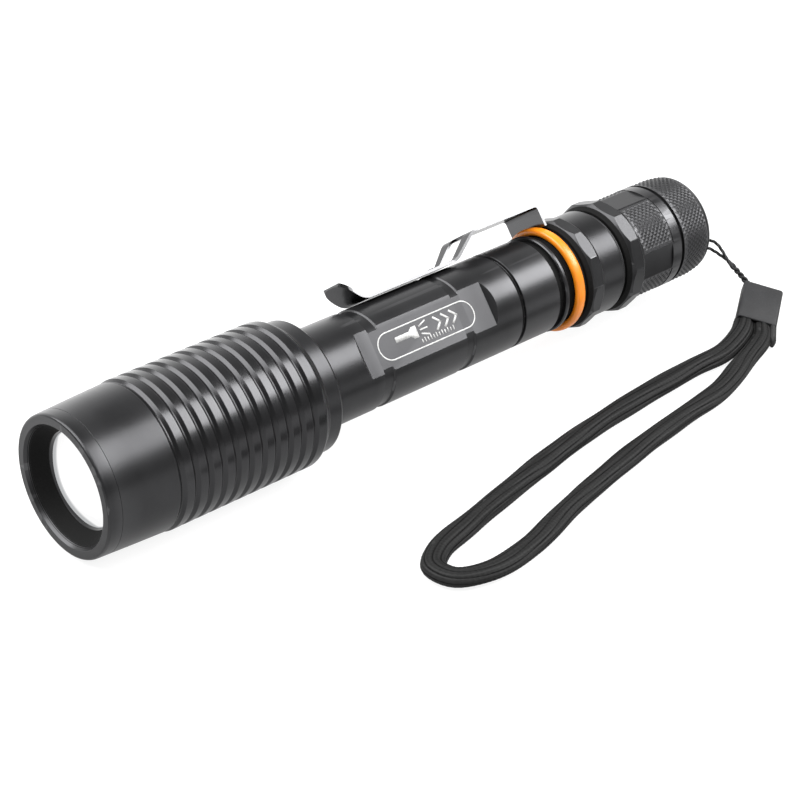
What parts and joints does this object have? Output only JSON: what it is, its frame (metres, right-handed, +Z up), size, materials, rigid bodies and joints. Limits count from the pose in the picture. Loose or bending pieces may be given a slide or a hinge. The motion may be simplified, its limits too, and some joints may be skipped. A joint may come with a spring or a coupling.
{
  "type": "tactical flashlight",
  "caption": "Long aluminium flashlight with a sliding focus head, pocket clip, rubber grip ring, screwed tail cap with push button, and a wrist lanyard.",
  "frame": {"origin": "centre of the flat top of the tail button, on the light's axis", "axes": "+X along the light's axis from the lens to the tail, +Z up with the light lying on its head ribs, -Y towards the side where the lanyard lies"},
  "size_m": [0.2372, 0.1035, 0.0427],
  "materials": {
    "anodised": "satin dark grey hard anodised",
    "black_rubber": "matt moulded rubber",
    "orange_rubber": "smooth glossy orange rubber",
    "lens_glass": "clear polished glass",
    "brass": "turned brass",
    "led_white": "white satin",
    "led_phosphor": "domed silicone over yellow phosphor",
    "circuit_board": "green solder mask",
    "spring_wire": "gold-plated spring wire",
    "cell_wrap": "blue shrink wrap over a steel can",
    "clip_steel": "polished stainless spring steel",
    "switch_plastic": "moulded black nylon",
    "cord_fabric": "thin twisted black cord",
    "clamp_plastic": "moulded dark grey plastic",
    "strap_fabric": "soft black braided strap"
  },
  "bodies": {
    "tube": {"body_tube": "anodised", "led_pill": "brass", "led_board": "led_white", "led_emitter": "led_phosphor", "led_insulator": "led_white", "driver_board": "circuit_board", "driver_spring": "spring_wire", "battery_front": "cell_wrap", "battery_rear": "cell_wrap", "grip_ring": "orange_rubber", "pocket_clip": "clip_steel", "rear_collar": "anodised", "tail_o_ring": "black_rubber"},
    "zoom_ring": {"zoom_o_ring": "black_rubber"},
    "head": {"bezel_ring": "anodised", "lens_seal": "black_rubber", "lens": "lens_glass", "lens_retainer": "anodised", "head_sleeve": "anodised"},
    "tail_contact": {"tail_spring": "spring_wire"},
    "tail": {"tail_cap": "anodised", "switch_retainer": "anodised", "tail_switch": "switch_plastic", "switch_board": "circuit_board", "tether_cord": "cord_fabric"},
    "button": {"switch_boot": "black_rubber", "switch_plunger": "switch_plastic"},
    "strap": {"lanyard_clamp": "clamp_plastic", "wrist_strap": "strap_fabric"}
  },
  "joints": [
    {"name": "head_turn", "type": "hinge", "parent": "tube", "child": "zoom_ring", "pos_m": [-0.1789, 0, 0], "axis": [1, 0, 0], "continuous": true},
    {"name": "head_zoom", "type": "slide", "parent": "zoom_ring", "child": "head", "axis": [-1, 0, 0], "range_m": [0, 0.012]},
    {"name": "tail_cap_turn", "type": "hinge", "parent": "tube", "child": "tail_contact", "pos_m": [-0.0307, 0, 0], "axis": [1, 0, 0], "range_deg": [0, 1440]},
    {"name": "tail_cap_travel", "type": "slide", "parent": "tail_contact", "child": "tail", "axis": [1, 0, 0], "range_m": [0, 0.006]},
    {"name": "button_press", "type": "slide", "parent": "tail", "child": "button", "axis": [-1, 0, 0], "range_m": [0, 0.0018], "stiffness_N_per_m": 1500},
    {"name": "strap_swing", "type": "hinge", "parent": "tail", "child": "strap", "pos_m": [0.0037, -0.0272, -0.0124], "axis": [0, 0, 1], "range_deg": [-10, 90]}
  ],
  "couplings": [
    {"joint": "tail_cap_turn", "follows": "tail_cap_travel", "rad_per_m": 4188.8}
  ]
}
